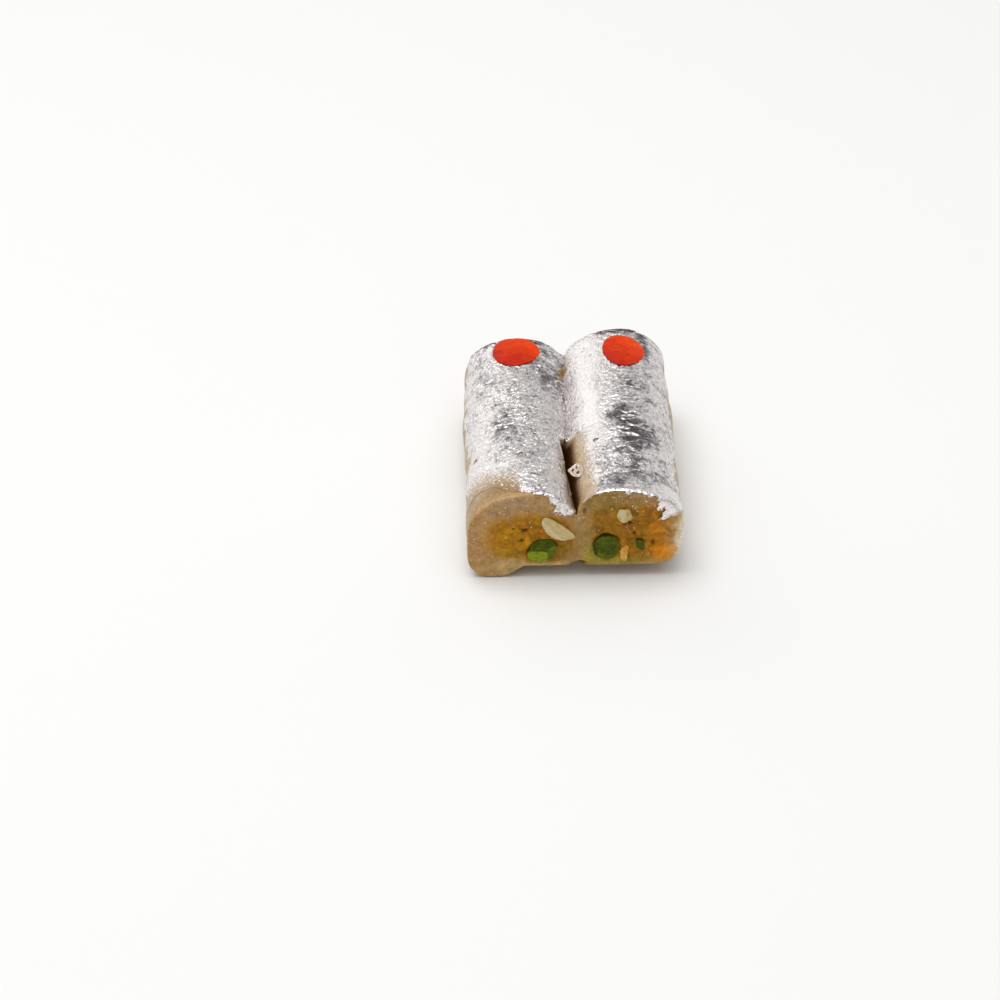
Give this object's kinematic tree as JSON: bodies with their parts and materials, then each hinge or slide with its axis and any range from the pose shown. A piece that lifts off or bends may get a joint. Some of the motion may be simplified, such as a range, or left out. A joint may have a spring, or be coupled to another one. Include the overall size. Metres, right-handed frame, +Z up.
{
  "type": "cashew roll",
  "caption": "Paired rolls of cashew paste stuck side by side, nut filling showing at the cut ends, torn crinkled silver leaf over the top and a red colour dot on each.",
  "frame": {"origin": "on the table under the middle of the roll", "axes": "+X across the lobes to the viewer's right, +Y along the roll away from the shown cut end, +Z up"},
  "size_m": [0.0489, 0.0662, 0.025],
  "materials": {
    "cashew_paste": "smooth ground cashew paste, faintly translucent, with fine grains",
    "nut_filling": "moist amber nut filling, coarse where it is cut",
    "pistachio": "cut green pistachio kernel",
    "cashew_nut": "cut pale cashew kernel",
    "nut_crumb": "pale orange nut crumb",
    "silver_leaf": "beaten silver leaf, finely crinkled, torn at its edges",
    "red_colour": "dried red-orange food colour, slightly uneven"
  },
  "bodies": {
    "root": {"dough": "cashew_paste", "filling_left": "nut_filling", "filling_right": "nut_filling", "pistachio_left": "pistachio", "pistachio_right": "pistachio", "pistachio_chip": "pistachio", "cashew_sliver": "cashew_nut", "cashew_chip": "cashew_nut", "nut_crumb": "nut_crumb", "pistachio_back_left": "pistachio", "pistachio_back_right": "pistachio", "cashew_back_sliver": "cashew_nut", "cashew_back_chip": "cashew_nut", "silver_leaf": "silver_leaf", "dot_left": "red_colour", "dot_right": "red_colour"}
  },
  "joints": []
}
